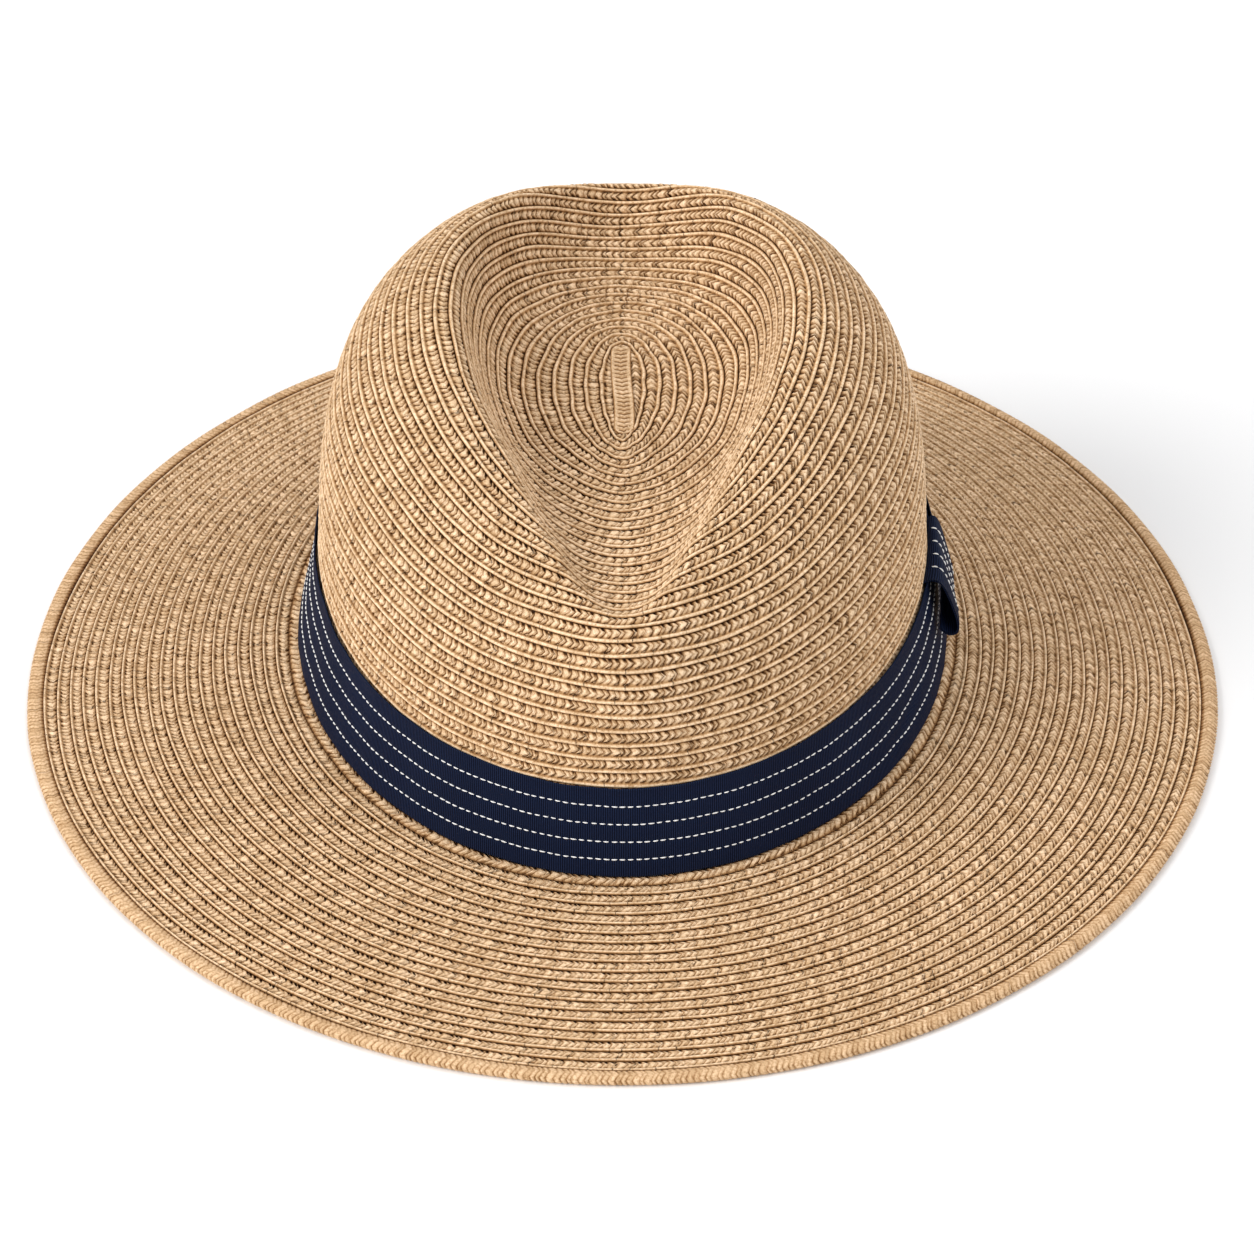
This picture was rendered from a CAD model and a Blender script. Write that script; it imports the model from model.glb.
"""The looks of a sewn-braid straw hat with a ribbon band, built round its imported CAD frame.

The CAD model gives the sizes and places. Every turn of the straw braid is modelled here as its own strip,
with a plait, a smooth ridge along its outer edge and an inner edge tucked under the turn before it. All
lengths in this file are millimetres until to_metres() hands a mesh over.
"""
import math

import bpy
import numpy as np
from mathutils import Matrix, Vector


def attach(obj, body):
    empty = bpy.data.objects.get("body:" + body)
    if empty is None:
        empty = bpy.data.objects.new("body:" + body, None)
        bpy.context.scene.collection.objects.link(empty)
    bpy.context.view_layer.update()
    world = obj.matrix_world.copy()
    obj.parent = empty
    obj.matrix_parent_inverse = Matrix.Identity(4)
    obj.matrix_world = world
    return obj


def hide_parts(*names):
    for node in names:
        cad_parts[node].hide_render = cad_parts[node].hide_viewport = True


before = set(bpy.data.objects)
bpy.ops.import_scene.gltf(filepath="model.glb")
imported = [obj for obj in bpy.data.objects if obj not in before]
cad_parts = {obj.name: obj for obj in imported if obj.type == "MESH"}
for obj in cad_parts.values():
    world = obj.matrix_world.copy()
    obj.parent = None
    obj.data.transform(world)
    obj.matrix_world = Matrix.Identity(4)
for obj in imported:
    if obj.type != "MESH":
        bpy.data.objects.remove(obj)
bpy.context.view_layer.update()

MM = 0.001
rng = np.random.RandomState(11)

# ---------------- sizes shared with the CAD model
BASE_HALF_WIDTH = 87.0
BASE_HALF_LENGTH = 104.0
LEAN = math.radians(3.4)
BASE_HEIGHT = 19.1
STRIP_Y = 21.0
STRIP_HALF_LENGTH = 17.0
STRIP_WIDTH = 5.6
ROWS = 41
STATION_ANGLES = (0, 20, 45, 65, 90, 120, 150, 180)
FLOOR_HEIGHT = 62.5
FOOT_REACH = (0.62, 0.44, 0.36, 0.335, 0.34, 0.40, 0.52, 0.60)
FOOT_HEIGHT = (65.5, 65, 64, 62, 61.5, 62, 63, 64)
CREST_REACH = (0.80, 0.61, 0.48, 0.465, 0.48, 0.56, 0.70, 0.87)
CREST_HEIGHT = (66, 72, 80, 85, 89, 90, 85, 76)
SHOULDER_REACH = (0.93, 0.84, 0.80, 0.82, 0.875, 0.93, 0.965, 0.97)
SHOULDER_HEIGHT = (60, 63, 66, 69, 73, 76, 75, 71)
WAIST_REACH = (0.97, 0.95, 0.935, 0.925, 0.935, 0.96, 0.975, 0.98)
WAIST_HEIGHT = (42, 42, 42, 44, 46, 48, 48, 46)
BAND_REACH = (0.985, 0.975, 0.955, 0.935, 0.925, 0.945, 0.975, 0.985)
BRIM_HALF_WIDTH = 161.9
BRIM_FRONT = 172.6
BRIM_BACK = 181.0
CROWN_Y = (BRIM_FRONT - BRIM_BACK) / 2
BRIM_EDGE_TOP = 2.1
EDGE_WIDTH = 5.0
BRIM_ROWS = 20
RIBBON_WIDTH = 28.0
RIBBON_LIFT = 0.5
STITCH_ROWS = 4


# ---------------- the hat's surface
def along(angle, stations):
    """A smooth curve through the stations, the same on the left and the right."""
    x = np.radians(np.array(STATION_ANGLES, float))
    y = np.array(stations, float)
    far_x = np.r_[-x[1], x, 2 * math.pi - x[-2]]
    far_y = np.r_[y[1], y, y[-2]]
    step = np.diff(far_x)
    slope = np.diff(far_y) / step
    tangent = (slope[:-1] * step[1:] + slope[1:] * step[:-1]) / (step[:-1] + step[1:])
    a = np.abs((np.asarray(angle) + math.pi) % (2 * math.pi) - math.pi)
    i = np.clip(np.searchsorted(x, a, side="right") - 1, 0, len(x) - 2)
    span = x[i + 1] - x[i]
    t = (a - x[i]) / span
    start = (2 * t**3 - 3 * t**2 + 1) * y[i] + (t**3 - 2 * t**2 + t) * span * tangent[i]
    return start + (3 * t**2 - 2 * t**3) * y[i + 1] + (t**3 - t**2) * span * tangent[i + 1]


def clamped_spline(control, t):
    """Points at t (0 to 1) of the clamped cubic B-spline with these control values."""
    knots = np.r_[[0.0] * 3, np.linspace(0, 1, len(control) - 2), [1.0] * 3]
    t = np.minimum(t, 1 - 1e-9)
    basis = [np.where((t >= a) & (t < b), 1.0, 0.0) for a, b in zip(knots[:-1], knots[1:])]
    for degree in (1, 2, 3):
        raised = []
        for i in range(len(basis) - 1):
            up = knots[i + degree] - knots[i]
            down = knots[i + degree + 1] - knots[i + 1]
            value = (t - knots[i]) / up * basis[i] if up else 0 * t
            if down:
                value = value + (knots[i + degree + 1] - t) / down * basis[i + 1]
            raised.append(value)
        basis = raised
    return np.moveaxis(np.array(basis), 0, -1) @ control


def meridians(angle, samples=1500):
    """The crown's outer face on each meridian, from the centre strip to the base, before it leans."""
    one = np.ones_like(angle)
    foot, foot_z = along(angle, FOOT_REACH), along(angle, FOOT_HEIGHT)
    crest, crest_z = along(angle, CREST_REACH), along(angle, CREST_HEIGHT)
    shoulder, shoulder_z = along(angle, SHOULDER_REACH), along(angle, SHOULDER_HEIGHT)
    waist, waist_z = along(angle, WAIST_REACH), along(angle, WAIST_HEIGHT)
    band = along(angle, BAND_REACH)
    # The eleven control points of a meridian, set out as in the CAD model
    reach = [0 * one, foot / 2, foot, crest - 0.22 * (crest - foot), crest,
             crest + 0.35 * (shoulder - crest), shoulder, waist, band, one - 0.3 * (1 - band), one]
    height = [FLOOR_HEIGHT * one, FLOOR_HEIGHT + 0.4 * (foot_z - FLOOR_HEIGHT), foot_z,
              foot_z + 0.62 * (crest_z - foot_z), crest_z + 2.5, crest_z + 1.0, shoulder_z, waist_z,
              26 * one, 9 * one, 0 * one]
    t = np.linspace(0, 1, samples)
    w = clamped_spline(np.array(reach), t)
    z = clamped_spline(np.array(height), t)
    start_y = STRIP_Y - STRIP_HALF_LENGTH * np.cos(angle)
    x = w * BASE_HALF_WIDTH * np.sin(angle)
    y = start_y + w * (-BASE_HALF_LENGTH * np.cos(angle) - start_y)
    return np.stack([x, y, z], -1)


def seated(points):
    """Leans crown-side points forwards and lifts them to their place over the brim."""
    x, y, z = points[..., 0], points[..., 1], points[..., 2]
    return np.stack([x, y * math.cos(LEAN) - z * math.sin(LEAN) + CROWN_Y,
                     y * math.sin(LEAN) + z * math.cos(LEAN) + BASE_HEIGHT], -1)


def unit(vectors):
    """The same directions, each 1 long."""
    return vectors / np.maximum(np.linalg.norm(vectors, axis=-1, keepdims=True), 1e-9)


def running_length(line):
    """The distance along a line of points at each of them."""
    return np.r_[0, np.cumsum(np.linalg.norm(np.diff(line, axis=0), axis=-1))]


def read_grid(table, share, angle):
    """Reads a grid at a share (0 to 1) of the way down it and at an angle round the hat."""
    height, width = table.shape[:2]
    r = np.clip(share, 0, 1) * (height - 1)
    c = ((angle + math.pi) / (2 * math.pi) % 1.0) * (width - 1)
    i = np.clip(r.astype(int), 0, height - 2)
    j = np.clip(c.astype(int), 0, width - 2)
    a, b = (r - i)[..., None], (c - j)[..., None]
    top = table[i, j] * (1 - b) + table[i, j + 1] * b
    low = table[i + 1, j] * (1 - b) + table[i + 1, j + 1] * b
    return top * (1 - a) + low * a


class Surface:
    """A grid of points by row number and angle that can be read anywhere between them."""

    def __init__(self, points, first_row, last_row):
        self.points, self.first, self.last = points, first_row, last_row
        down = np.gradient(points, axis=0)
        wide = np.concatenate([points[:, -3:-1], points, points[:, 1:3]], axis=1)
        around = np.gradient(wide, axis=1)[:, 2:-2]
        self.normals = unit(np.cross(down, around))

    def read(self, table, row, angle):
        return read_grid(table, (row - self.first) / (self.last - self.first), angle)

    def at(self, row, angle, lift):
        """Points at these rows and angles, lifted this many mm off the surface."""
        return self.read(self.points, row, angle) + self.read(self.normals, row, angle) * lift[..., None]


DENSE_ANGLES = np.linspace(-math.pi, math.pi, 1441)
CROWN_STEPS_PER_ROW = 20
BRIM_STEPS_PER_ROW = 12
EDGE_OVERLAP = 0.5
# Over 1, the brim falls a little faster by the crown than by its edge
BRIM_DROOP = 1.08


def crown_surface():
    """The crown's face from the centre strip to the base, one row number for each turn of braid."""
    dense = meridians(DENSE_ANGLES)
    steps = np.linalg.norm(np.diff(dense, axis=0), axis=-1)
    length = np.vstack([np.zeros(len(DENSE_ANGLES)), np.cumsum(steps, 0)])
    rows = np.linspace(0, 1, ROWS * CROWN_STEPS_PER_ROW + 1)
    grid = np.zeros((len(rows), len(DENSE_ANGLES), 3))
    for j in range(len(DENSE_ANGLES)):
        for k in range(3):
            grid[:, j, k] = np.interp(rows * length[-1, j], length[:, j], dense[:, j, k])
    return Surface(seated(grid), 0, ROWS)


def brim_edge(angle, inset):
    """Points of the brim's outline, moved in towards the hat by inset, and the outward direction there."""
    half_length = np.where(np.cos(angle) > 0, BRIM_FRONT, BRIM_BACK)
    x, y = BRIM_HALF_WIDTH * np.sin(angle), -half_length * np.cos(angle)
    out = unit(np.stack([x / BRIM_HALF_WIDTH**2, y / half_length**2], -1))
    return np.stack([x, y + CROWN_Y], -1) - out * inset, out


def brim_surface():
    """The brim's upper face, from the crown's base out to a little under the rolled edge."""
    base = seated(np.stack([BASE_HALF_WIDTH * np.sin(DENSE_ANGLES), -BASE_HALF_LENGTH * np.cos(DENSE_ANGLES),
                            0 * DENSE_ANGLES], -1))
    edge = brim_edge(DENSE_ANGLES, EDGE_WIDTH - EDGE_OVERLAP)[0]
    share = np.linspace(0, 1, BRIM_ROWS * BRIM_STEPS_PER_ROW + 1)[:, None]
    flat = base[None, :, :2] * (1 - share[..., None]) + edge[None] * share[..., None]
    height = BRIM_EDGE_TOP + (base[None, :, 2] - BRIM_EDGE_TOP) * (1 - share) ** BRIM_DROOP
    return Surface(np.concatenate([flat, height[..., None]], -1), ROWS, ROWS + BRIM_ROWS)


WALL_ANGLES = np.linspace(-math.pi, math.pi, 721)
WALL_TOP = 46
WALL_LEVELS = np.linspace(0, WALL_TOP, 2 * WALL_TOP + 1)
WALL_SAMPLES = 600
# The samples of a meridian, counted from the base, that rise past the top of the wall
WALL_PART = 260


def wall_table():
    """The crown wall's plan at each level near the base, read off the meridians from the base upwards."""
    lines = meridians(WALL_ANGLES, WALL_SAMPLES)[::-1][:WALL_PART]
    return np.stack([np.stack([np.interp(WALL_LEVELS, lines[:, j, 2], lines[:, j, k]) for k in range(2)], -1)
                     for j in range(len(WALL_ANGLES))], 1)


WALL_TABLE = wall_table()


def wall_points(height, angle, off):
    """Seated points on the crown's wall at these heights over its base and angles, off mm outwards."""
    flat = read_grid(WALL_TABLE, height / WALL_TOP, angle)
    out = unit(np.stack([np.sin(angle) / BASE_HALF_WIDTH, -np.cos(angle) / BASE_HALF_LENGTH], -1))
    flat = flat + out * np.asarray(off)[..., None]
    return seated(np.concatenate([flat, (height + 0 * angle)[..., None]], -1))


# ---------------- meshes
class Patch:
    """Vertices, quads and per-vertex values that grow strip by strip into one mesh."""

    def __init__(self):
        self.points, self.faces, self.values, self.count = [], [], {}, 0

    def add(self, points, faces, **values):
        """Takes in a strip: its points, its quads and its values by name."""
        self.points.append(points.reshape(-1, 3))
        self.faces.append(faces + self.count)
        for name, value in values.items():
            self.values.setdefault(name, []).append(np.broadcast_to(value, points.shape[:-1]).reshape(-1))
        self.count += points.size // 3

    def build(self, name, material, slot, replaces=()):
        """Makes the piece, which rides the hat's one body."""
        points = np.concatenate(self.points) * MM
        faces = np.concatenate(self.faces)
        mesh = bpy.data.meshes.new(name)
        mesh.vertices.add(len(points))
        mesh.vertices.foreach_set("co", points.astype(np.float32).ravel())
        mesh.loops.add(faces.size)
        mesh.loops.foreach_set("vertex_index", faces.astype(np.int32).ravel())
        mesh.polygons.add(len(faces))
        mesh.polygons.foreach_set("loop_start", np.arange(0, faces.size, 4, dtype=np.int32))
        mesh.polygons.foreach_set("use_smooth", np.ones(len(faces), dtype=bool))
        mesh.update(calc_edges=True)
        for key, chunks in self.values.items():
            layer = mesh.attributes.new(key, "FLOAT", "POINT")
            layer.data.foreach_set("value", np.concatenate(chunks).astype(np.float32))
        mesh.validate()
        mesh.materials.append(material)
        piece = bpy.data.objects.new(name, mesh)
        bpy.context.scene.collection.objects.link(piece)
        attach(piece, "root")
        if replaces:
            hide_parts(*replaces)
        return piece


def grid_faces(rows, columns, close_rows, close_columns):
    """Quads of a grid; either direction may wrap round."""
    i = np.arange(rows if close_rows else rows - 1)
    j = np.arange(columns if close_columns else columns - 1)
    i, j = np.meshgrid(i, j, indexing="ij")
    i2, j2 = (i + 1) % rows, (j + 1) % columns
    quads = np.stack([i * columns + j, i2 * columns + j, i2 * columns + j2, i * columns + j2], -1)
    return quads.reshape(-1, 4)


def soft_noise(angle, waves, seed):
    """A smooth closed curve of small random waves round the hat, about -1 to 1."""
    r = np.random.RandomState(seed)
    total = 0 * angle
    for k in waves:
        total = total + math.sqrt(1 / len(waves)) * np.sin(k * angle + r.uniform(0, 2 * math.pi))
    return total


# ---------------- straw
# A strand of the plait has this many points along the hat, and the first lies in the gap before the strand
STEPS = 4
GAP_SHAPE = np.array([1.0, 0.10, 0.0, 0.14])
HOLE_SHAPE = np.array([0.85, 0.15, 0.0, 0.55])
# The two points across a turn that may have a hole
HOLE_POINTS = (2, 5)
GAP_DEPTHS = (0.25, 1.35)
STRAND_SLANTS = (0.6, 1.35)
STRAND_LIFTS = (-0.12, 0.10)
GAP_DARKNESS = 1.15
# A strand stands a little high or low where the gaps are deeper than this
LOOSE_GAP = 0.2
# Gaps of this depth and more get the whole crease of the material
CREASED_GAP = 0.3
FEWEST_STRANDS = 8
# A new piece starts after a turn that brings the last one over this many points
PIECE_POINTS = 92000
# How far the seams stray, in turns; the first turns were sewn less evenly
WANDER = 0.05
INNER_WANDER = 0.07
INNER_TURNS = 9
SEAM_WAVES = (3, 5, 9, 16)
SEAM_SEED = 100
UNEVENNESS = 0.04
UNEVEN_WAVES = (31, 47, 83)
UNEVEN_SEED = 300
FIRST_ROW = 0.52
CROWN_TURNS = ROWS - 1


class Section:
    """One turn of the braid, cut across.

    A point has its share of the turn's width, its lift, its slant in strands, the depth of the gaps there and
    its paleness. The period is a strand's length, raggedness is how far strands stray from their places.
    """

    def __init__(self, points, period, raggedness, hole_share):
        self.points, self.period, self.raggedness, self.hole_share = points, period, raggedness, hole_share


UNDERSIDE = ((0.98, -0.42, 0.0, 0.0, 0.3), (0.55, -0.95, 0.5, 0.20, 0.85), (0.05, -1.30, 0.0, 0.15, 0.6))
PLUMP = Section((
    (-0.16, -0.90, 0.00, 0.05, 0.00), (-0.02, -0.56, 0.00, 0.50, 0.20), (0.11, -0.04, 0.27, 0.50, 0.86),
    (0.30, 0.20, 0.62, 0.42, 1.00), (0.48, 0.10, 0.30, 0.50, 0.98), (0.63, -0.26, -0.05, 0.70, 0.68),
    (0.71, -0.16, -0.05, 0.10, 0.56), (0.795, 0.20, 0.00, 0.00, 0.96), (0.885, 0.23, 0.00, 0.00, 1.00),
    (0.96, -0.04, 0.00, 0.00, 0.66)) + UNDERSIDE, period=1.80, raggedness=0.24, hole_share=0.50)
FLAT = Section((
    (-0.16, -0.80, 0.00, 0.05, 0.00), (-0.03, -0.55, 0.00, 0.45, 0.14), (0.10, -0.18, 0.30, 0.30, 0.80),
    (0.29, -0.02, 0.85, 0.24, 0.98), (0.48, -0.05, 0.50, 0.26, 0.95), (0.66, -0.24, 0.00, 0.42, 0.80),
    (0.75, -0.12, 0.00, 0.06, 0.62), (0.82, 0.26, 0.00, 0.00, 1.00), (0.885, 0.30, 0.00, 0.00, 1.00),
    (0.95, -0.02, 0.00, 0.00, 0.62)) + UNDERSIDE, period=1.50, raggedness=0.28, hole_share=0.36)
RIDGELESS = Section((
    (-0.16, -0.80, 0.00, 0.05, 0.00), (0.02, -0.30, 0.00, 0.35, 0.50), (0.16, -0.05, 0.35, 0.35, 0.85),
    (0.36, 0.08, 0.80, 0.35, 0.95), (0.58, 0.05, 0.45, 0.35, 0.95), (0.80, -0.12, 0.00, 0.35, 0.80),
    (0.93, -0.40, 0.00, 0.20, 0.40)) + UNDERSIDE, period=1.95, raggedness=0.20, hole_share=0.40)


def strand_before(k, strands):
    """Which strand each point of a plait goes with; a gap's near side goes with the strand after it."""
    return ((k + STEPS // 2) // STEPS) % strands


def plait_angles(arc, strands, shift):
    """The angle round the hat of each point of a plait, moved along it by its shift in strands."""
    place = (np.arange(strands * STEPS) / STEPS + shift) / strands * arc[-1]
    return np.interp(place % arc[-1], arc, DENSE_ANGLES)


def turn_of_braid(patch, surface, low, high, row, section):
    """One turn of the braid between two row numbers, as a closed strip round the hat."""
    middle = np.full(len(DENSE_ANGLES), (low + high) / 2)
    arc = running_length(surface.read(surface.points, middle, DENSE_ANGLES))
    strands = max(FEWEST_STRANDS, int(round(arc[-1] / section.period)))
    jitter = rng.uniform(-section.raggedness, section.raggedness, strands)
    depth = rng.uniform(*GAP_DEPTHS, strands)
    slope = rng.uniform(*STRAND_SLANTS, strands)
    tint = rng.uniform(0, 1, strands)
    height = rng.uniform(*STRAND_LIFTS, strands)
    holes = rng.uniform(0, 1, (len(HOLE_POINTS), strands)) < section.hole_share
    k = np.arange(strands * STEPS)
    strand = strand_before(k, strands)
    own = k // STEPS
    shape = (len(section.points), len(k))
    points, cavity, plait = np.zeros((*shape, 3)), np.zeros(shape), np.zeros(shape)
    for j, (share, lift, slant, gap, pale) in enumerate(section.points):
        angle = plait_angles(arc, strands, slant * slope[strand] + jitter[strand])
        at = low + (high - low) * (share + seam(row, angle) * (1 - share) + seam(row + 1, angle) * share)
        dent = gap * GAP_SHAPE[k % STEPS] * depth[strand]
        if j in HOLE_POINTS:
            dent = dent + HOLE_SHAPE[k % STEPS] * holes[HOLE_POINTS.index(j)][strand]
        raised = height[own] if gap > LOOSE_GAP else 0
        uneven = UNEVENNESS * soft_noise(angle, UNEVEN_WAVES, UNEVEN_SEED + row)
        points[j] = surface.at(at, angle, lift - dent + raised + uneven)
        cavity[j] = np.clip(pale - GAP_DARKNESS * dent, 0, 1)
        plait[j] = min(gap / CREASED_GAP, 1)
    patch.add(points, grid_faces(*shape, True, True)[:, ::-1], cavity=cavity, tint=tint[own],
              phase=np.broadcast_to(k / STEPS, shape), plait=plait)


def seam(row, angle):
    """How far the seam before this turn strays from its place, in turns."""
    return (INNER_WANDER if row < INNER_TURNS else WANDER) * soft_noise(angle, SEAM_WAVES, SEAM_SEED + row)


def straw_pieces(name, surface, row_edges, sections, material, cad_node, turns_before=0):
    """Turn after turn, in pieces of a workable size."""
    patch, first = Patch(), 0
    turns = len(row_edges) - 1
    for row in range(turns):
        turn_of_braid(patch, surface, row_edges[row], row_edges[row + 1], turns_before + row, sections[row])
        if patch.count > PIECE_POINTS or row == turns - 1:
            patch.build(f"{name}_{first + 1}_to_{row + 1}", material, "straw", [cad_node])
            patch, first = Patch(), row + 1


# Each point round the rolled edge: out from its middle line, up, slant and depth of the gaps
EDGE_SECTION = (
    (-2.75, 1.10, 0.00, 0.05), (-2.20, 2.10, 0.00, 0.20), (-1.15, 2.62, 0.30, 0.16), (0.00, 2.78, 0.80, 0.14),
    (1.10, 2.55, 0.35, 0.16), (2.00, 1.95, 0.00, 0.26), (2.40, 1.30, 0.27, 0.25), (2.00, 0.62, 0.50, 0.20),
    (1.15, 0.12, 0.25, 0.15), (0.00, 0.02, 0.00, 0.15), (-1.60, 0.06, 0.00, 0.05), (-2.60, 0.45, 0.00, 0.00))
EDGE_MIDDLE = np.array([0.0, 1.35])
EDGE_PERIOD = 1.5
EDGE_RAGGEDNESS = 0.25
EDGE_GAP_DEPTHS = (0.6, 1.3)
EDGE_SWELL = 0.03
EDGE_WAVES = (11, 17, 29)
EDGE_SEED = 500
EDGE_PALENESS = 0.84
EDGE_GAP_DARKNESS = 1.3
EDGE_CREASED_GAP = 0.5
# The rolled edge is dark where it meets the turn before it, further in than this
EDGE_SEAM_OUT = -2
EDGE_SEAM_DARKNESS = 0.7
FLOOR_GAP = 0.02


def edge_turn(material):
    """The last turn, doubled over and rolled round the brim's edge."""
    arc = running_length(brim_edge(DENSE_ANGLES, EDGE_WIDTH / 2)[0])
    strands = int(round(arc[-1] / EDGE_PERIOD))
    jitter = rng.uniform(-EDGE_RAGGEDNESS, EDGE_RAGGEDNESS, strands)
    depth = rng.uniform(*EDGE_GAP_DEPTHS, strands)
    tint = rng.uniform(0, 1, strands)
    k = np.arange(strands * STEPS)
    strand = strand_before(k, strands)
    shape = (len(EDGE_SECTION), len(k))
    points, cavity, plait = np.zeros((*shape, 3)), np.zeros(shape), np.zeros(shape)
    for j, (out, up, slant, gap) in enumerate(EDGE_SECTION):
        angle = plait_angles(arc, strands, slant + jitter[strand])
        dent = gap * GAP_SHAPE[k % STEPS] * depth[strand]
        away = unit(np.array([out, up]) - EDGE_MIDDLE)
        swell = 1 + EDGE_SWELL * soft_noise(angle, EDGE_WAVES, EDGE_SEED)
        flat, side = brim_edge(angle, EDGE_WIDTH / 2)
        flat = flat + side * (out * swell - away[0] * dent)[:, None]
        height = np.maximum(up * swell - away[1] * dent, FLOOR_GAP)
        points[j] = np.concatenate([flat, height[:, None]], -1)
        shade = EDGE_SEAM_DARKNESS * (out < EDGE_SEAM_OUT)
        cavity[j] = np.clip(EDGE_PALENESS - dent * EDGE_GAP_DARKNESS - shade, 0, 1)
        plait[j] = min(gap / EDGE_CREASED_GAP, 1)
    patch = Patch()
    patch.add(points, grid_faces(*shape, True, True)[:, ::-1], cavity=cavity, tint=tint[k // STEPS],
              phase=np.broadcast_to(k / STEPS, shape), plait=plait)
    return patch.build("brim_rolled_edge", material, "straw", ["brim_edge_braid"])


# Each point round the centre strip: its share of the half width, lift, slant, depth of the gaps and paleness
STRIP_SECTION = (
    (-1.00, -0.70, 0.00, 0.00, 0.25), (-0.97, 0.25, 0.00, 0.00, 0.45), (-0.80, 0.60, 0.00, 0.00, 0.95),
    (-0.62, 0.25, 0.00, 0.10, 0.95), (-0.50, 0.20, 0.00, 0.35, 0.95), (-0.25, 0.45, 0.27, 0.38, 0.95),
    (0.00, 0.52, 0.55, 0.40, 0.95), (0.25, 0.45, 0.27, 0.38, 0.95), (0.50, 0.20, 0.00, 0.35, 0.95),
    (0.62, 0.25, 0.00, 0.10, 0.95), (0.80, 0.60, 0.00, 0.00, 0.95), (0.97, 0.25, 0.00, 0.00, 0.45),
    (1.00, -0.70, 0.00, 0.00, 0.25), (0.00, -1.00, 0.00, 0.00, 0.00))
STRIP_GAP_DEPTHS = (0.7, 1.3)
STRIP_GAP_DARKNESS = 1.6
STRIP_RAISED = 0.15
STRIP_BEND = 0.5
STRIP_BENDS = 1.6
# The share of the strip's height and the square of its width that are left at its round ends
STRIP_END_HEIGHT = 0.35
STRIP_END_SQUARE = 0.02


def start_strip(material):
    """The braid's folded start in the middle of the well: a plait between two smooth ridges."""
    half = STRIP_WIDTH / 2
    length = 2 * STRIP_HALF_LENGTH + STRIP_WIDTH
    strands = int(length / PLUMP.period)
    columns = strands * STEPS + 1
    k = np.arange(columns)
    inside = (k > 0) & (k < columns - 1)
    depth = rng.uniform(*STRIP_GAP_DEPTHS, strands + 1)
    tint = rng.uniform(0, 1, strands + 1)
    shape = (len(STRIP_SECTION), columns)
    points, cavity, plait = np.zeros((*shape, 3)), np.zeros(shape), np.zeros(shape)
    for j, (across, lift, slant, gap, pale) in enumerate(STRIP_SECTION):
        y = (np.clip((k / STEPS + slant * inside) / strands, 0, 1) - 0.5) * length
        past_straight = ((np.abs(y) - length / 2 + half) / half).clip(0, 1)
        end = np.sqrt(np.clip(1 - past_straight**2, STRIP_END_SQUARE, 1))
        x = across * half * end + STRIP_BEND * np.sin(y / length * math.pi * STRIP_BENDS)
        dent = gap * GAP_SHAPE[k % STEPS] * depth[k // STEPS]
        off = lift * (STRIP_END_HEIGHT + (1 - STRIP_END_HEIGHT) * end) - dent
        points[j] = seated(np.stack([x, STRIP_Y - y, FLOOR_HEIGHT + off + STRIP_RAISED], -1))
        cavity[j] = np.clip(pale - STRIP_GAP_DARKNESS * dent, 0, 1)
        plait[j] = min(gap / CREASED_GAP, 1)
    patch = Patch()
    patch.add(points, grid_faces(*shape, True, False)[:, ::-1], cavity=cavity, tint=tint[k // STEPS],
              phase=np.broadcast_to(k / STEPS, shape), plait=plait)
    return patch.build("crown_centre_strip", material, "straw", ["crown_start_strip"])


# ---------------- materials
# Each ramp is a list of stops: a place from 0 to 1 and its colour
STRAW_DEPTH = ((0.0, (0.030, 0.010, 0.003)), (0.30, (0.165, 0.068, 0.020)), (0.60, (0.450, 0.262, 0.118)),
               (0.85, (0.720, 0.500, 0.300)), (1.0, (0.820, 0.615, 0.405)))
STRAW_TINTS = ((0.0, (0.82, 0.77, 0.70)), (0.40, (0.96, 0.95, 0.93)), (1.0, (1.08, 1.09, 1.12)))
STRAW_DRIFT = ((0.3, (0.965, 0.955, 0.94)), (0.7, (1.02, 1.02, 1.03)))
STRAW_SPECKS = ((0.30, (0.62, 0.51, 0.39)), (0.50, (1.0, 1.0, 1.0)), (0.72, (1.24, 1.27, 1.34)))
CLOTH_DRIFT = ((0.3, (0.84, 0.84, 0.87)), (0.7, (1.08, 1.08, 1.10)))
TINT_AMOUNT = 0.9
CREASE_COLOUR = (0.42, 0.25, 0.12)
CREASE_AMOUNT = 0.80
SLIT_COLOUR = (0.62, 0.50, 0.38)
SLIT_AMOUNT = 0.40
# How far along a strand its slits lie, and how the crease, the slits and the rounding fade beside them
SLIT_PLACE = 0.31
CREASE_FADE = (0.02, 0.11)
SLIT_FADE = (0.01, 0.09)
ROUNDING = (0.0, 0.30)
SLIT_RELIEF = -0.35
FIBRE_RELIEF = 0.6
STRAW_RELIEF_DEPTH = 0.26
STRAW_ROUGHNESS = (0.48, 0.74)
STRAW_SHINE = 0.12
# Noise scales count blobs to the metre
DRIFT_SCALE = 24.0
FIBRE_SCALE = 1500.0
CLOTH_DRIFT_SCALE = 34.0
LINT_SCALE = 1300.0
FLUFF_SCALE = 2600.0
NOISE_RANGE = (0.3, 0.7)
RIB_SHARE = 0.38
LINT_SHARE = 0.2
RIB_DARK_AT = 0.20
RIB_LIGHT_AT = 0.88
CLOTH_BUMP = 0.8
CLOTH_ROUGHNESS_RANGE = 0.08
SHEEN_ROUGHNESS = 0.4
THREAD_SHADE = 0.72
THREAD_BUMP = 0.6
THREAD_RELIEF_DEPTH = 0.06
THREAD_ROUGHNESS = (0.72, 0.88)


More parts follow.
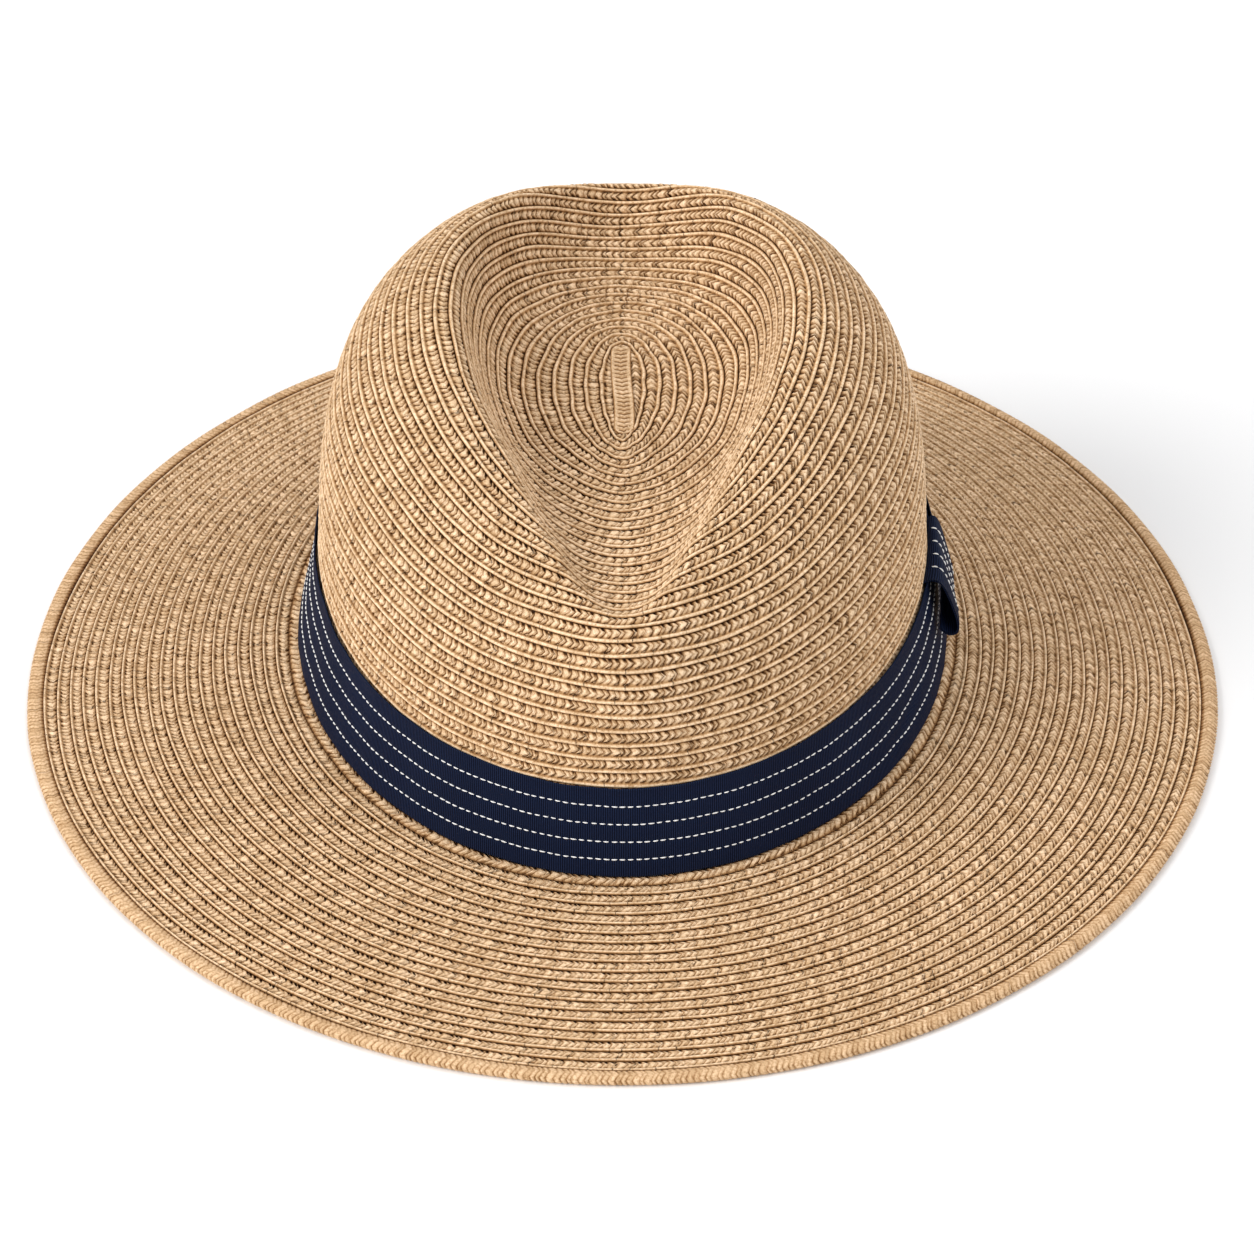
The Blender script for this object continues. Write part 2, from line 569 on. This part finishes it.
def new_material(name):
    """A material with its node tree and its shader."""
    material = bpy.data.materials.new(name)
    material.use_nodes = True
    return material, material.node_tree, material.node_tree.nodes["Principled BSDF"]


def node(tree, kind, **values):
    """A new node; each value goes to the input of that name or, failing that, to the setting."""
    made = tree.nodes.new(kind)
    for key, value in values.items():
        if key in made.inputs:
            made.inputs[key].default_value = value
        else:
            setattr(made, key, value)
    return made


def feed(tree, made, values):
    """Gives each numbered input of a node its colour, its number or its link."""
    for index, value in values:
        if isinstance(value, tuple):
            made.inputs[index].default_value = (*value, 1)
        elif isinstance(value, (int, float)):
            made.inputs[index].default_value = value
        else:
            tree.links.new(value, made.inputs[index])


def attribute(tree, name):
    """One of the per-vertex values that Patch stores."""
    return node(tree, "ShaderNodeAttribute", attribute_name=name).outputs["Fac"]


def noise(tree, scale, detail, roughness=0.5):
    """A noise laid out over the object in its own metres."""
    made = node(tree, "ShaderNodeTexNoise", Scale=scale, Detail=detail, Roughness=roughness)
    tree.links.new(node(tree, "ShaderNodeTexCoord").outputs["Object"], made.inputs["Vector"])
    return made.outputs["Fac"]


def ramp(tree, source, stops):
    """A colour ramp with these stops."""
    made = tree.nodes.new("ShaderNodeValToRGB")
    elements = made.color_ramp.elements
    while len(elements) < len(stops):
        elements.new(0.5)
    for element, (place, colour) in zip(elements, stops):
        element.position = place
        element.color = (*colour, 1)
    tree.links.new(source, made.inputs["Fac"])
    return made.outputs["Color"]


def multiply(tree, amount, first, second):
    """Multiplies two colours; the amount is a number or a link, and each colour a link or a value."""
    made = node(tree, "ShaderNodeMix", data_type="RGBA", blend_type="MULTIPLY")
    feed(tree, made, ((0, amount), (6, first), (7, second)))
    return made.outputs[2]


def maths(tree, operation, *values):
    """A sum on numbers and links."""
    made = node(tree, "ShaderNodeMath", operation=operation)
    feed(tree, made, enumerate(values))
    return made.outputs[0]


def spread(tree, source, low, high, out_low, out_high):
    """Moves a value from one range to another, smoothly and clamped."""
    made = node(tree, "ShaderNodeMapRange", interpolation_type="SMOOTHSTEP")
    feed(tree, made, enumerate((source, low, high, out_low, out_high)))
    return made.outputs["Result"]


def add_relief(tree, shader, height, strength, depth):
    """Shows a height as relief, this many mm deep."""
    made = node(tree, "ShaderNodeBump", Strength=strength, Distance=depth * MM)
    tree.links.new(height, made.inputs["Height"])
    tree.links.new(made.outputs["Normal"], shader.inputs["Normal"])


def straw_material():
    """Plaited paper straw: pale rounded strands, brown in the gaps, with fine fibres along each strand."""
    material, tree, shader = new_material("paper_straw")
    plait = attribute(tree, "plait")
    phase = attribute(tree, "phase")
    middle = maths(tree, "PINGPONG", phase, 0.5)
    fold = maths(tree, "PINGPONG", maths(tree, "ADD", phase, SLIT_PLACE), 0.25)
    crease = maths(tree, "MULTIPLY", spread(tree, middle, *CREASE_FADE, 1.0, 0.0), plait)
    slit = maths(tree, "MULTIPLY", spread(tree, fold, *SLIT_FADE, 1.0, 0.0), plait)
    depth = ramp(tree, attribute(tree, "cavity"), STRAW_DEPTH)
    colour = multiply(tree, TINT_AMOUNT, depth, ramp(tree, attribute(tree, "tint"), STRAW_TINTS))
    colour = multiply(tree, 1.0, colour, ramp(tree, noise(tree, DRIFT_SCALE, 3.0), STRAW_DRIFT))
    fibre = noise(tree, FIBRE_SCALE, 3.0, 0.65)
    colour = multiply(tree, 1.0, colour, ramp(tree, fibre, STRAW_SPECKS))
    colour = multiply(tree, maths(tree, "MULTIPLY", crease, CREASE_AMOUNT), colour, CREASE_COLOUR)
    colour = multiply(tree, maths(tree, "MULTIPLY", slit, SLIT_AMOUNT), colour, SLIT_COLOUR)
    tree.links.new(colour, shader.inputs["Base Color"])
    tree.links.new(spread(tree, fibre, *NOISE_RANGE, *STRAW_ROUGHNESS), shader.inputs["Roughness"])
    strand_relief = maths(tree, "MULTIPLY", spread(tree, middle, *ROUNDING, 0.0, 1.0), plait)
    slit_relief = maths(tree, "MULTIPLY", slit, SLIT_RELIEF)
    fibre_relief = maths(tree, "MULTIPLY", fibre, FIBRE_RELIEF)
    relief = maths(tree, "ADD", maths(tree, "ADD", strand_relief, slit_relief), fibre_relief)
    add_relief(tree, shader, relief, 1.0, STRAW_RELIEF_DEPTH)
    shader.inputs["Specular IOR Level"].default_value = STRAW_SHINE
    return material


def cloth_material(name, dark, light, rib_pitch, rib_depth, roughness, sheen, shine):
    """A ribbed ribbon: ribs across it, counted in mm by the rib attribute, and a little lint."""
    material, tree, shader = new_material(name)
    wave = maths(tree, "SINE", maths(tree, "MULTIPLY", attribute(tree, "rib"), 2 * math.pi / rib_pitch))
    lint = noise(tree, LINT_SCALE, 3.0)
    ribs = maths(tree, "MULTIPLY_ADD", wave, RIB_SHARE, RIB_SHARE)
    both = maths(tree, "ADD", ribs, maths(tree, "MULTIPLY", lint, LINT_SHARE))
    colours = ramp(tree, both, ((RIB_DARK_AT, dark), (RIB_LIGHT_AT, light)))
    drift = ramp(tree, noise(tree, CLOTH_DRIFT_SCALE, 2.0), CLOTH_DRIFT)
    tree.links.new(multiply(tree, TINT_AMOUNT, colours, drift), shader.inputs["Base Color"])
    add_relief(tree, shader, both, CLOTH_BUMP, rib_depth)
    rough = (roughness - CLOTH_ROUGHNESS_RANGE, roughness + CLOTH_ROUGHNESS_RANGE)
    tree.links.new(spread(tree, lint, *NOISE_RANGE, *rough), shader.inputs["Roughness"])
    shader.inputs["Sheen Weight"].default_value = sheen
    shader.inputs["Sheen Roughness"].default_value = SHEEN_ROUGHNESS
    shader.inputs["Specular IOR Level"].default_value = shine
    return material


def thread_material(name, colour):
    """Spun thread: short twisted fibres, a little darker between them."""
    material, tree, shader = new_material(name)
    fluff = noise(tree, FLUFF_SCALE, 3.0)
    between = tuple(THREAD_SHADE * c for c in colour)
    tree.links.new(ramp(tree, fluff, ((0.3, between), (0.62, colour))), shader.inputs["Base Color"])
    add_relief(tree, shader, fluff, THREAD_BUMP, THREAD_RELIEF_DEPTH)
    tree.links.new(spread(tree, fluff, *NOISE_RANGE, *THREAD_ROUGHNESS), shader.inputs["Roughness"])
    return material


# ---------------- cloth on the crown's wall
RIBBON_FACE = 1.05
RIBBON_SHEET = 0.5
# The ribbon's face is uneven: each entry is an amount, its waves and their seed
RIBBON_UNEVENNESS = ((0.10, (6, 13, 21), 700), (0.05, (37, 53), 701))
STITCH_DRAW = 0.18
STITCH_DRAW_WIDTH = 0.75
UPPER_EDGE_FLARE = 0.22
UPPER_EDGE_REACH = 1.6
LOWER_EDGE_DRAW = 0.12
LOWER_EDGE_REACH = 1.4
STITCH_PERIOD = 2.1
DASH = 1.75
DASH_WIDTH = 0.36
DASH_HEIGHT = 0.30
KNOT_FIRST = math.radians(77.8)
KNOT_LAST = math.radians(94.0)
# The ribbon puffs out before the keeper, with a slanting fold and a small pocket in it
CREASE_ANGLE = math.radians(62)
PUFF = 0.30
PUFF_WIDTH = 0.15
FOLD = 0.55
FOLD_HEIGHT = 10.5
FOLD_SLOPE = 30
FOLD_WIDTH = 2.0
POCKET = 0.35
POCKET_HEIGHT = 12
POCKET_BEFORE = 0.05
POCKET_SIZE = (3.0, 0.03)
HEM = 0.12
HEM_STEP = 0.25
HEM_TOLERANCE = 0.05
BAND_COLUMNS = 1440
CLOTH_WAVES = (9, 15, 33)
CLOTH_SEED = 702
PATCH_GRID = (22, 40)


def stitch_height(number):
    """The height of a row of stitches over the crown's base; the rows are numbered from 1."""
    return RIBBON_LIFT + RIBBON_WIDTH * number / (STITCH_ROWS + 1)


def bump(distance, width):
    """A round hill, 1 in the middle and near 0 beyond twice its width."""
    return np.exp(-((distance / width) ** 2))


def ribbon_face(height, angle):
    """How far the ribbon's face stands off the straw: drawn in along the stitches, creased by the knot."""
    face = RIBBON_FACE
    for amount, waves, seed in RIBBON_UNEVENNESS:
        face = face + amount * soft_noise(angle, waves, seed)
    for number in range(1, STITCH_ROWS + 1):
        face = face - STITCH_DRAW * bump(height - stitch_height(number), STITCH_DRAW_WIDTH)
    past = angle - CREASE_ANGLE
    fold = bump(height - FOLD_HEIGHT - FOLD_SLOPE * past, FOLD_WIDTH)
    pocket = bump(height - POCKET_HEIGHT, POCKET_SIZE[0]) * bump(past + POCKET_BEFORE, POCKET_SIZE[1])
    face = face + bump(past, PUFF_WIDTH) * (PUFF - FOLD * fold) - POCKET * pocket
    upper = np.exp(-(RIBBON_LIFT + RIBBON_WIDTH - height) / UPPER_EDGE_REACH)
    lower = np.exp(-(height - RIBBON_LIFT) / LOWER_EDGE_REACH)
    return face + UPPER_EDGE_FLARE * upper - LOWER_EDGE_DRAW * lower


def cloth_round(name, low, high, rows, face, thickness, material, slot, cad_node, wave):
    """A band of cloth all the way round the crown's wall, from one height to another."""
    angle = np.linspace(-math.pi, math.pi, BAND_COLUMNS + 1)[:-1]
    heights = np.r_[low, low + HEM_STEP, np.linspace(low, high, rows)[1:-1], high - HEM_STEP, high]
    h, a = np.meshgrid(heights, angle, indexing="ij")
    share = (h - low) / (high - low)
    lift = h + wave * soft_noise(a, CLOTH_WAVES, CLOTH_SEED) * share
    hem = HEM * ((h < low + HEM_TOLERANCE) | (h > high - HEM_TOLERANCE))
    outer = wall_points(lift, a, face(h, a) - hem)
    inner = wall_points(lift, a, face(h, a) - thickness + hem)
    ring = np.concatenate([outer, inner[::-1]], 0)
    middle = outer[len(heights) // 2]
    steps = np.linalg.norm(np.roll(middle, -1, 0) - middle, axis=-1)
    run = np.r_[0, np.cumsum(steps)][:-1]
    patch = Patch()
    patch.add(ring, grid_faces(len(ring), BAND_COLUMNS, True, True)[:, ::-1], rib=run)
    piece = patch.build(name, material, slot, [cad_node])
    return piece


def cloth_patch(name, low, high, first, last, face, thickness, material, slot, cad_node, slant=0.0):
    """A short piece of cloth on the wall between two angles, its last edge cut at a slant."""
    rows, columns = PATCH_GRID
    share, along_it = np.meshgrid(np.linspace(0, 1, rows), np.linspace(0, 1, columns), indexing="ij")
    height = low + (high - low) * share
    angle = first + (last - slant * share - first) * along_it
    from_edge = np.minimum(np.minimum(share, 1 - share) * rows, np.minimum(along_it, 1 - along_it) * columns)
    hem = HEM * (1 - from_edge.clip(0, 1))
    outer = wall_points(height, angle, face(height, angle) - hem)
    inner = wall_points(height, angle, face(height, angle) - thickness + hem)
    return closed_sheet(name, outer, inner, material, slot, cad_node)


def closed_sheet(name, outer, inner, material, slot, cad_node):
    rows, columns = outer.shape[:2]
    ring = np.concatenate([outer, inner[:, ::-1]], 1)
    across = np.linalg.norm(np.diff(outer, axis=1), axis=-1)
    run = np.r_[0, np.cumsum(across.mean(0))]
    patch = Patch()
    patch.add(ring, grid_faces(rows, 2 * columns, False, True), rib=np.r_[run, run[::-1]])
    j = np.arange(columns - 1)
    cap = np.stack([j, j + 1, 2 * columns - 2 - j, 2 * columns - 1 - j], -1)
    patch.faces.append(cap[:, ::-1])
    patch.faces.append(cap + (rows - 1) * 2 * columns)
    piece = patch.build(name, material, slot, [cad_node])
    return piece


# The keeper's path over the band: how far it stands off the straw, and its height on the crown
KEEPER_OFF = (0.1, 1.7, 3.9, 5.5, 6.4, 7.0, 6.8, 5.0, 3.1, 2.2)
KEEPER_HEIGHT = (29.0, 30.2, 30.3, 27.0, 22.0, 17.0, 13.6, 12.0, 12.4, 14.4)
KEEPER_PUCKER = 0.18
PUCKER_WIDTH = 0.16
# Its front edge stands further off than its back edge
KEEPER_FLARE = 1.12
KEEPER_TAPER = 0.42
KEEPER_GRID = 61
KEEPER_STITCHED = (0.06, 0.86)
LINE_SAMPLES = 400
BESIDE = 0.01


def keeper_points(t, s):
    """Points of the keeper at t down its path and s from its front edge to its back edge."""
    off = clamped_spline(np.array(KEEPER_OFF), t)
    height = clamped_spline(np.array(KEEPER_HEIGHT), t)
    angle = KNOT_FIRST + (KNOT_LAST - KNOT_FIRST) * s
    flare = KEEPER_FLARE - KEEPER_TAPER * s + 0.06 * np.sin(7 * s + 2 * t)
    from_row = ((s * (STITCH_ROWS + 1)) % 1.0 + 0.5) % 1.0 - 0.5
    inside_edge = np.clip(np.minimum(s, 1 - s) * 8, 0, 1)
    pucker = KEEPER_PUCKER * bump(from_row, PUCKER_WIDTH) * inside_edge
    stand = RIBBON_SHEET + (off - RIBBON_SHEET) * flare - pucker
    return wall_points(height, angle + 0.010 * np.sin(3 * t) * (1 - s), stand)


def keeper_line(s, first, last, samples):
    """A line down the keeper at s across it, and the same line a little to the side."""
    t = np.linspace(first, last, samples)
    return [keeper_points(t, np.full(samples, place)) for place in (s, s + BESIDE)]


def keeper(material, thread):
    """The fold of ribbon over the band at the wearer's left, with the ribbon's own rows of stitches."""
    s, t = np.meshgrid(*[np.linspace(0, 1, KEEPER_GRID)] * 2, indexing="ij")
    face = keeper_points(t, s)
    normal = unit(np.cross(np.gradient(face, axis=0), np.gradient(face, axis=1)))
    middle = KEEPER_GRID // 2
    if normal[middle, middle, 0] < 0:
        normal = -normal
    back = face - normal * RIBBON_SHEET
    closed_sheet("knot_keeper", face, back, material, "ribbon", "side_knot_wrap")
    patch = Patch()
    for number in range(1, STITCH_ROWS + 1):
        line, beside = keeper_line(number / (STITCH_ROWS + 1), *KEEPER_STITCHED, LINE_SAMPLES)
        stitch_line(patch, line, beside, STITCH_PERIOD, DASH)
    patch.build("knot_keeper_stitches", thread, "thread")


HAT_MIDDLE = np.array([0.0, 0.0, 20.0])
PLACE_JITTER = 0.05
DASH_GRID = (6, 6)
DASH_SINK = 0.35
DASH_ROUNDNESS = 1.04
DASH_STRETCH = (0.86, 1.08)
DASH_SKEW = 0.07


def stitch_line(patch, line, beside, period, dash):
    """Running stitches along a line of points; beside is the same line moved a little sideways."""
    arc = running_length(line)
    count = int(round(arc[-1] / period))
    place = (np.arange(count) + 0.5 + rng.uniform(-PLACE_JITTER, PLACE_JITTER, count)) / count * arc[-1]
    along_line = np.gradient(line, axis=0)
    ahead, outward = unit(along_line), unit(np.cross(along_line, beside - line))
    middle = len(line) // 2
    if outward[middle] @ (line[middle] - HAT_MIDDLE) < 0:
        outward = -outward
    read = [np.stack([np.interp(place, arc, v[:, i]) for i in range(3)], -1) for v in (line, ahead, outward)]
    lay_dashes(patch, *read, dash, DASH_WIDTH, DASH_HEIGHT)


def dash_shape():
    """A short stitch: a rounded stick, higher in the middle and sunk at both ends."""
    turns, rings = DASH_GRID
    t = np.linspace(-1, 1, rings)[:, None]
    size = np.sqrt(np.clip(DASH_ROUNDNESS - t**2, 0.02, 1))
    a = np.arange(turns) / turns * 2 * math.pi
    return np.stack([t + 0 * a, size * np.cos(a), size * np.sin(a) - DASH_SINK * t**2], -1)


def lay_dashes(patch, centres, ahead, outward, length, width, height):
    """Adds one stitch at each centre, pointing along ahead on a face whose normal is outward."""
    shape = dash_shape()
    rings, turns = shape.shape[:2]
    ends = np.array([[0, 1, 2, 3], [0, 3, 4, 5]])
    far_ends = (ends + (rings - 1) * turns)[:, ::-1]
    faces = np.concatenate([grid_faces(rings, turns, False, True)[:, ::-1], ends, far_ends])
    side = np.cross(outward, ahead)
    stretch = rng.uniform(*DASH_STRETCH, len(centres))
    skew = rng.uniform(-DASH_SKEW, DASH_SKEW, len(centres))
    for centre, go, up, out, size, tilt in zip(centres, ahead, outward, side, stretch, skew):
        go = go + out * tilt
        points = (centre + shape[..., :1] * go * length / 2 * size + shape[..., 1:2] * out * width / 2
                  + shape[..., 2:3] * up * height)
        patch.add(points, faces)


WALL_BESIDE = 0.4
LINE_STRAY = 0.05
LINE_WAVES = (7, 19, 41)
TACK_PLACES = (0.17, 0.39, 0.61, 0.83)
TACK_SPAN = (0.56, 0.60)
TACK_SAMPLES = 5
TACK_PERIOD = 1.6
TACK_LENGTH = 1.9


def wall_stitches(patch, level, angle, face, period, dash):
    """Running stitches on the wall along these heights and angles."""
    off = face(level, angle)
    beside = wall_points(level + WALL_BESIDE, angle, off)
    stitch_line(patch, wall_points(level, angle, off), beside, period, dash)


def stitches_round(name, height, face, period, dash, material, slot, cad_node):
    """A row of running stitches all the way round the wall, at one height over the crown's base."""
    level = height + LINE_STRAY * soft_noise(DENSE_ANGLES, LINE_WAVES, int(height * 10))
    patch = Patch()
    wall_stitches(patch, level, DENSE_ANGLES, face, period, dash)
    return patch.build(name, material, slot, [cad_node])


def tack_stitches(thread):
    """Small dark stitches on the keeper that hold its fold."""
    patch = Patch()
    for s in TACK_PLACES:
        line, beside = keeper_line(s, *TACK_SPAN, TACK_SAMPLES)
        stitch_line(patch, line, beside, TACK_PERIOD, TACK_LENGTH)
    return patch.build("knot_tacks", thread, "ribbon_thread", ["knot_tack_stitches"])


TAIL_LOW = 3.5
TAIL_HIGH = 28.2
TAIL_ANGLE = math.radians(15)
TAIL_SLANT = math.radians(5)
TAIL_FACE = 1.75
TAIL_LIFT = 0.7
TAIL_FADE = 0.10
TAIL_SAMPLES = 200
TAIL_STITCH_MARGIN = 0.01


def tail_face(height, angle):
    """The ribbon's cut end lifts away from the band where it comes out of the keeper."""
    return TAIL_FACE + (TAIL_LIFT * (height / TAIL_HIGH) ** 2) * np.exp(-(angle - KNOT_LAST) / TAIL_FADE)


def tail_stitches(thread):
    """The ribbon's rows of stitches go on over its cut end."""
    patch = Patch()
    for number in range(1, STITCH_ROWS + 1):
        height = stitch_height(number)
        last = KNOT_LAST + TAIL_ANGLE - TAIL_SLANT * (height - TAIL_LOW) / (TAIL_HIGH - TAIL_LOW)
        angle = np.linspace(KNOT_LAST + TAIL_STITCH_MARGIN, last - TAIL_STITCH_MARGIN, TAIL_SAMPLES)
        wall_stitches(patch, np.full(TAIL_SAMPLES, height), angle, tail_face, STITCH_PERIOD, DASH)
    return patch.build("knot_tail_stitches", thread, "thread")


# ---------------- inside the hat
SWEAT_LOW = 0.6
SWEAT_HIGH = 30.6
SWEAT_OUTSIDE = -1.78
SWEAT = 0.85
SWEAT_SEAM = 2.85
SWEAT_WAVE = 0.2
SWEAT_LEAN = 0.35
SWEAT_WAVINESS = 0.6
SWEAT_STITCH_PERIOD = 3.0
SWEAT_STITCH_LENGTH = 2.1
TAB_HALF = math.radians(4.1)
TAB_LOW = 1.4
TAB_HIGH = 29.8
TAB_THICKNESS = 0.7
TAB_OFF = 0.1
LABEL_HALF = math.radians(6.2)
LABEL_LOW = 6.0
LABEL_HIGH = 28.0
LABEL_THICKNESS = 0.35
LABEL_OFF = 0.9


def sweat_face(height, angle):
    """The sweatband's hidden face: it waves a little at its free upper edge."""
    waviness = 1 + SWEAT_WAVINESS * soft_noise(angle, (5, 11, 17), 800)
    return SWEAT_OUTSIDE - SWEAT_LEAN * (height / SWEAT_HIGH) ** 2 * waviness


def inside_of_sweatband(depth):
    """The sweatband's inner face, or a face this many mm further in."""
    return lambda height, angle: sweat_face(height, angle) - SWEAT - depth


# ---------------- the floor, the light and the camera
FLOOR_HALF = 6.0
FLOOR_COLOUR = (0.88, 0.885, 0.895)
FLOOR_ROUGHNESS = 0.9
SKY_COLOUR = (1.0, 0.99, 0.985)
SKY_STRENGTH = 0.54
# Each lamp: its name, where it shines from, its strength, its softness and its colour
LAMPS = (("key", (-0.80, -0.36, 0.54), 2.5, math.radians(36), (1.0, 0.985, 0.965)),
         ("fill", (0.60, -0.40, 0.70), 1.05, math.radians(60), (0.98, 0.99, 1.0)),
         ("back", (0.1, 0.5, 0.85), 0.50, math.radians(60), (1.0, 1.0, 1.0)))


def studio():
    """A wide sheet of pale paper under the hat, an even sky and three soft lamps."""
    mesh = bpy.data.meshes.new("studio_floor")
    corners = [(x * FLOOR_HALF, y * FLOOR_HALF, 0) for x, y in ((-1, -1), (1, -1), (1, 1), (-1, 1))]
    mesh.from_pydata(corners, [], [(0, 1, 2, 3)])
    floor = bpy.data.objects.new("studio_floor", mesh)
    bpy.context.scene.collection.objects.link(floor)
    paper, _, shader = new_material("studio_paper")
    shader.inputs["Base Color"].default_value = (*FLOOR_COLOUR, 1)
    shader.inputs["Roughness"].default_value = FLOOR_ROUGHNESS
    mesh.materials.append(paper)
    world = bpy.data.worlds.new("studio_world")
    bpy.context.scene.world = world
    world.use_nodes = True
    world.node_tree.nodes["Background"].inputs["Color"].default_value = (*SKY_COLOUR, 1)
    world.node_tree.nodes["Background"].inputs["Strength"].default_value = SKY_STRENGTH
    for lamp_values in LAMPS:
        lamp(*lamp_values)
    bpy.context.scene.view_settings.view_transform = "Standard"


def lamp(name, direction, strength, softness, colour):
    """A large soft lamp far away in this direction."""
    light = bpy.data.lights.new(name, "SUN")
    light.energy = strength
    light.angle = softness
    light.color = colour
    holder = bpy.data.objects.new(name, light)
    bpy.context.scene.collection.objects.link(holder)
    holder.rotation_euler = Vector(direction).to_track_quat("Z", "Y").to_euler()


CAMERA_ELEVATION = math.radians(35.42)
CAMERA_DISTANCE = 1.5
CAMERA_TARGET = Vector((0.0, 0.01076, 0.00675))
FOCAL_LENGTH = 156.8
SENSOR_WIDTH = 36.0
SIDE_SHIFT = 0.0036


def camera():
    """The photo's view: from the front, well above the brim and far enough away to look nearly flat."""
    data = bpy.data.cameras.new("studio_camera")
    data.lens = FOCAL_LENGTH
    data.sensor_width = SENSOR_WIDTH
    data.shift_x = SIDE_SHIFT
    eye = bpy.data.objects.new("studio_camera", data)
    bpy.context.scene.collection.objects.link(eye)
    back = Vector((0, -math.cos(CAMERA_ELEVATION), math.sin(CAMERA_ELEVATION)))
    eye.location = CAMERA_TARGET + back * CAMERA_DISTANCE
    eye.rotation_euler = back.to_track_quat("Z", "Y").to_euler()
    bpy.context.scene.camera = eye


# ---------------- putting it together
NAVY_DARK = (0.0018, 0.0032, 0.0110)
NAVY_LIGHT = (0.0120, 0.0210, 0.0560)
WHITE_THREAD = (0.95, 0.95, 0.93)
NAVY_THREAD = (0.02, 0.024, 0.045)
TAPE_DARK = (0.42, 0.33, 0.23)
TAPE_LIGHT = (0.66, 0.55, 0.42)
SATIN_DARK = (0.74, 0.73, 0.69)
SATIN_LIGHT = (0.88, 0.87, 0.83)
COTTON_THREAD = (0.66, 0.56, 0.42)
BACK_ANGLE = math.pi
RIBBON_WAVE = 0.12
RIBBON_LEVELS = 41
SWEAT_LEVELS = 24


def braid():
    """Every piece of straw."""
    straw = straw_material()
    crown, brim = crown_surface(), brim_surface()
    crown_edges = np.linspace(FIRST_ROW, ROWS, CROWN_TURNS + 1)
    brim_edges = np.linspace(ROWS, ROWS + BRIM_ROWS, BRIM_ROWS + 1)
    straw_pieces("crown_turns", crown, crown_edges, [PLUMP] * CROWN_TURNS, straw, "crown_braid")
    straw_pieces("brim_turns", brim, brim_edges, [RIDGELESS] + [FLAT] * (BRIM_ROWS - 1), straw, "brim_braid",
                 turns_before=CROWN_TURNS)
    edge_turn(straw)
    start_strip(straw)


def ribbon():
    """The ribbon, its stitches, its keeper and its cut end."""
    grosgrain = cloth_material("navy_grosgrain", NAVY_DARK, NAVY_LIGHT, rib_pitch=0.58, rib_depth=0.16,
                               roughness=0.60, sheen=0.0, shine=0.05)
    white_thread = thread_material("white_thread", WHITE_THREAD)
    navy_thread = thread_material("navy_thread", NAVY_THREAD)
    cloth_round("hatband_grosgrain", RIBBON_LIFT, RIBBON_LIFT + RIBBON_WIDTH, RIBBON_LEVELS, ribbon_face,
                RIBBON_SHEET, grosgrain, "ribbon", "hatband_ribbon", RIBBON_WAVE)
    for number in range(1, STITCH_ROWS + 1):
        stitches_round(f"hatband_stitches_{number}", stitch_height(number), ribbon_face, STITCH_PERIOD, DASH,
                       white_thread, "thread", f"hatband_stitch_row_{number}")
    keeper(grosgrain, white_thread)
    tack_stitches(navy_thread)
    cloth_patch("knot_tail", TAIL_LOW, TAIL_HIGH, KNOT_LAST, KNOT_LAST + TAIL_ANGLE, tail_face, RIBBON_SHEET,
                grosgrain, "ribbon", "side_knot_tail", TAIL_SLANT)
    tail_stitches(white_thread)


def lining():
    """The sweatband with its stitches, the tab over its join and the blank label."""
    tape = cloth_material("cotton_tape", TAPE_DARK, TAPE_LIGHT, rib_pitch=0.9, rib_depth=0.10,
                          roughness=0.85, sheen=0.2, shine=0.2)
    satin = cloth_material("label_satin", SATIN_DARK, SATIN_LIGHT, rib_pitch=0.35, rib_depth=0.03,
                           roughness=0.45, sheen=0.1, shine=0.35)
    cotton = thread_material("cotton_thread", COTTON_THREAD)
    cloth_round("sweatband_tape", SWEAT_LOW, SWEAT_HIGH, SWEAT_LEVELS, sweat_face, SWEAT, tape, "sweatband",
                "sweatband", SWEAT_WAVE)
    stitches_round("sweatband_stitches", SWEAT_SEAM, inside_of_sweatband(0.0), SWEAT_STITCH_PERIOD,
                   SWEAT_STITCH_LENGTH, cotton, "sweatband_thread", "sweatband_stitching")
    cloth_patch("sweatband_tab", TAB_LOW, TAB_HIGH, BACK_ANGLE - TAB_HALF, BACK_ANGLE + TAB_HALF,
                inside_of_sweatband(TAB_OFF), TAB_THICKNESS, tape, "sweatband", "sweatband_join_tab")
    cloth_patch("blank_label", LABEL_LOW, LABEL_HIGH, BACK_ANGLE - LABEL_HALF, BACK_ANGLE + LABEL_HALF,
                inside_of_sweatband(LABEL_OFF), LABEL_THICKNESS, satin, "label", "care_label")


camera()
studio()
braid()
ribbon()
lining()
